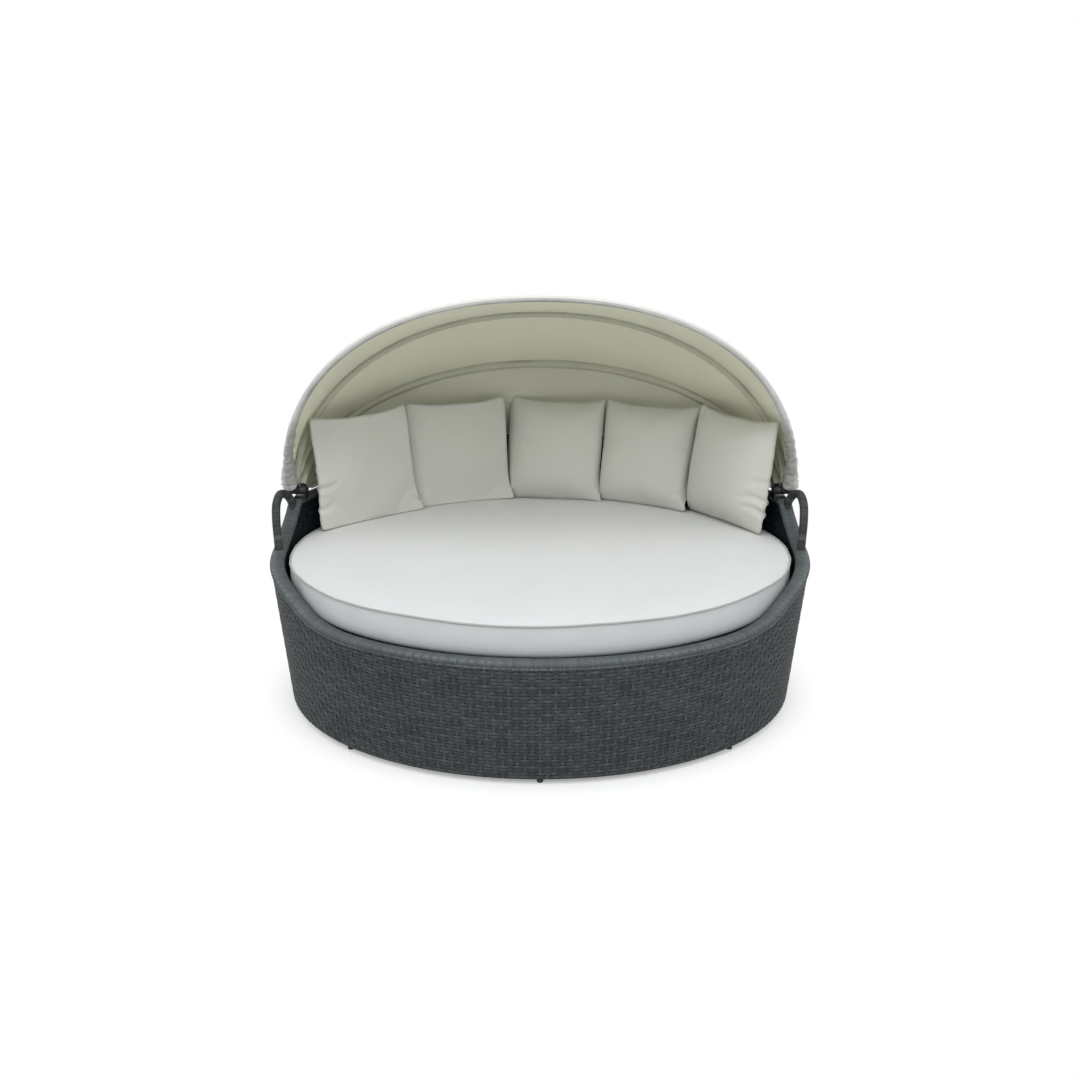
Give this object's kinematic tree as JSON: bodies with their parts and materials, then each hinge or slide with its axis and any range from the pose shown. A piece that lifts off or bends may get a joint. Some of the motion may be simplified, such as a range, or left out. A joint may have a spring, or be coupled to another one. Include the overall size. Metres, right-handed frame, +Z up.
{
  "type": "outdoor daybed",
  "caption": "Oval woven outdoor daybed with a thick seat cushion, loose back pillows, arm loops and a folding half-dome canopy on hinged bows.",
  "frame": {"origin": "on the floor, in the middle of the outline seen from above", "axes": "+Z up, -Y towards the open front, +X to the right of someone who faces the front"},
  "size_m": [1.809, 1.4208, 1.3495],
  "materials": {
    "weave": "flat woven strands, satin",
    "frame": "powder coated",
    "deck": "flat panel",
    "glide": "moulded",
    "hardware": "black coated",
    "bow": "drawn tube",
    "seat_cloth": "woven, light grey",
    "pillow_cloth": "woven, grey beige",
    "canopy_cloth": "woven, olive beige"
  },
  "bodies": {
    "base": {"outer_skin": "weave", "inner_skin": "weave", "bottom_ring": "frame", "deck_ring": "frame", "hinge_post_right": "frame", "hinge_post_left": "frame", "back_post_right": "frame", "back_post_left": "frame", "side_post_right": "frame", "side_post_left": "frame", "front_post_right": "frame", "front_post_left": "frame", "deck_beam_1": "frame", "deck_beam_2": "frame", "deck_beam_3": "frame", "deck_beam_4": "frame", "seat_deck": "deck", "foot_1": "glide", "foot_2": "glide", "foot_3": "glide", "foot_4": "glide", "foot_5": "glide", "foot_6": "glide", "foot_7": "glide", "foot_8": "glide", "rim_roll": "weave", "top_rail": "frame", "arm_loop_right": "weave", "arm_loop_left": "weave", "hinge_bracket_right": "hardware", "hinge_bracket_left": "hardware", "pivot_bolt_right": "hardware", "pivot_bolt_left": "hardware", "pivot_nut_right": "hardware", "pivot_nut_left": "hardware", "inner_spacer_right": "glide", "inner_spacer_left": "glide", "outer_spacer_right": "glide", "outer_spacer_left": "glide", "bracket_screw_1_right": "hardware", "bracket_screw_1_left": "hardware", "bracket_screw_2_right": "hardware", "bracket_screw_2_left": "hardware", "hem_rail": "bow", "hem_screw_1": "hardware", "hem_screw_2": "hardware", "back_skirt": "canopy_cloth", "seat_cushion": "seat_cloth", "pillow_1": "pillow_cloth", "pillow_2": "pillow_cloth", "pillow_3": "pillow_cloth", "pillow_4": "pillow_cloth", "pillow_5": "pillow_cloth"},
    "third_bow": {"third_bow": "bow", "rear_cloth": "canopy_cloth"},
    "second_bow": {"second_bow": "bow", "middle_cloth": "canopy_cloth"},
    "front_bow": {"front_bow": "bow", "front_cloth": "canopy_cloth"}
  },
  "joints": [
    {"name": "third_fold", "type": "hinge", "parent": "base", "child": "third_bow", "pos_m": [0, 0.18537, 0.65], "axis": [-1, 0, 0], "range_deg": [0, 20]},
    {"name": "second_fold", "type": "hinge", "parent": "third_bow", "child": "second_bow", "pos_m": [0, 0.18537, 0.65], "axis": [-1, 0, 0], "range_deg": [0, 27]},
    {"name": "front_fold", "type": "hinge", "parent": "second_bow", "child": "front_bow", "pos_m": [0, 0.18537, 0.65], "axis": [-1, 0, 0], "range_deg": [0, 36]}
  ],
  "couplings": [
    {"joint": "second_fold", "follows": "third_fold", "ratio": 1.35},
    {"joint": "front_fold", "follows": "third_fold", "ratio": 1.8}
  ]
}
